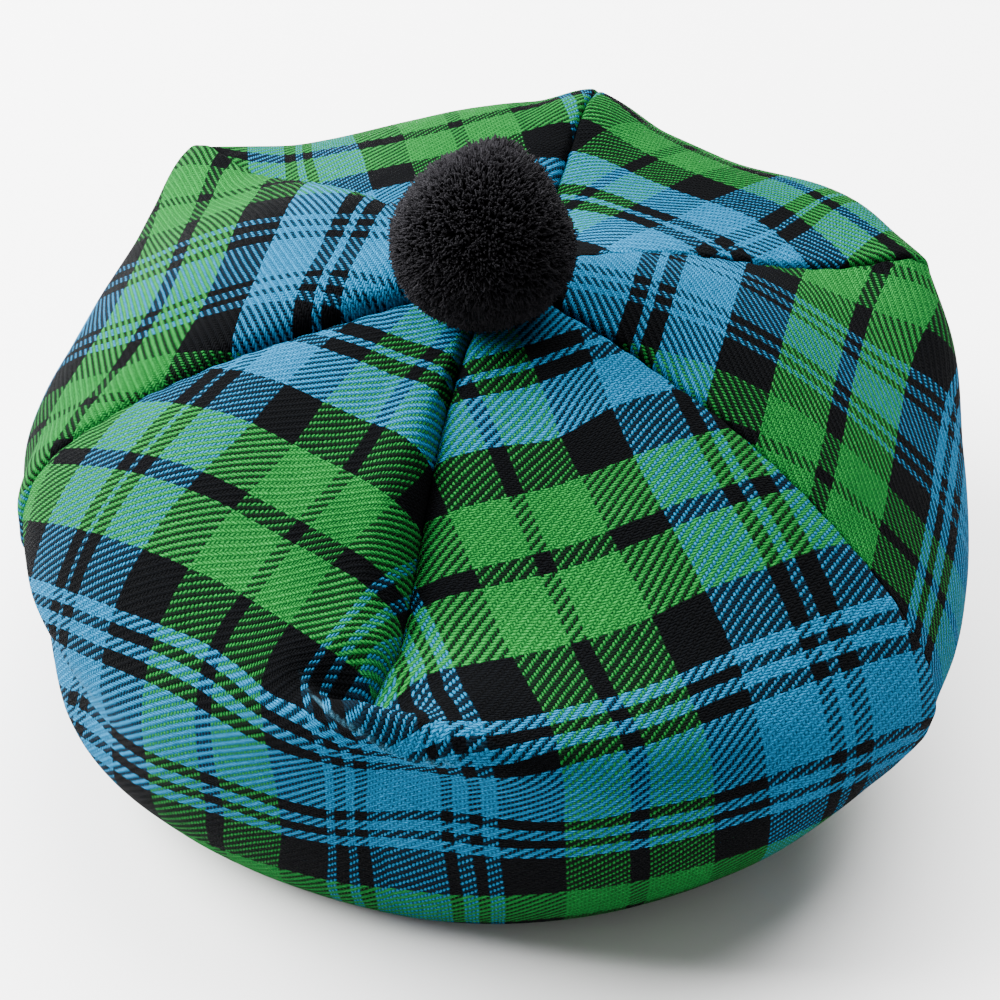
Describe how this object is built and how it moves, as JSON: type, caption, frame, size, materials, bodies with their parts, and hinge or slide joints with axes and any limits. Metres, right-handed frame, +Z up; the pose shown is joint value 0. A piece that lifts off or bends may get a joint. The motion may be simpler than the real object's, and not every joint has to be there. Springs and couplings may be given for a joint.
{
  "type": "tam o shanter",
  "caption": "Wide puffed cloth cap with pieced crown sections in blue, green and black tartan, a plain head band and a black yarn pompom on top.",
  "frame": {"origin": "middle of the hat's bounding box on the surface that the head band rests on", "axes": "+Z up through the crown, -Y towards the front panel with the dart, +X towards the front panel's left-hand side as worn"},
  "size_m": [0.2464, 0.271, 0.1608],
  "materials": {
    "tartan_front": "matte",
    "tartan_right": "matte",
    "tartan_back_right": "matte",
    "tartan_back": "matte",
    "tartan_left": "matte",
    "band_cloth": "matte",
    "yarn": "matte"
  },
  "bodies": {
    "root": {"crown_front": "tartan_front", "gore_right": "tartan_right", "gore_back_right": "tartan_back_right", "gore_back": "tartan_back", "gore_left": "tartan_left", "head_band": "band_cloth", "toorie": "yarn"}
  },
  "joints": []
}
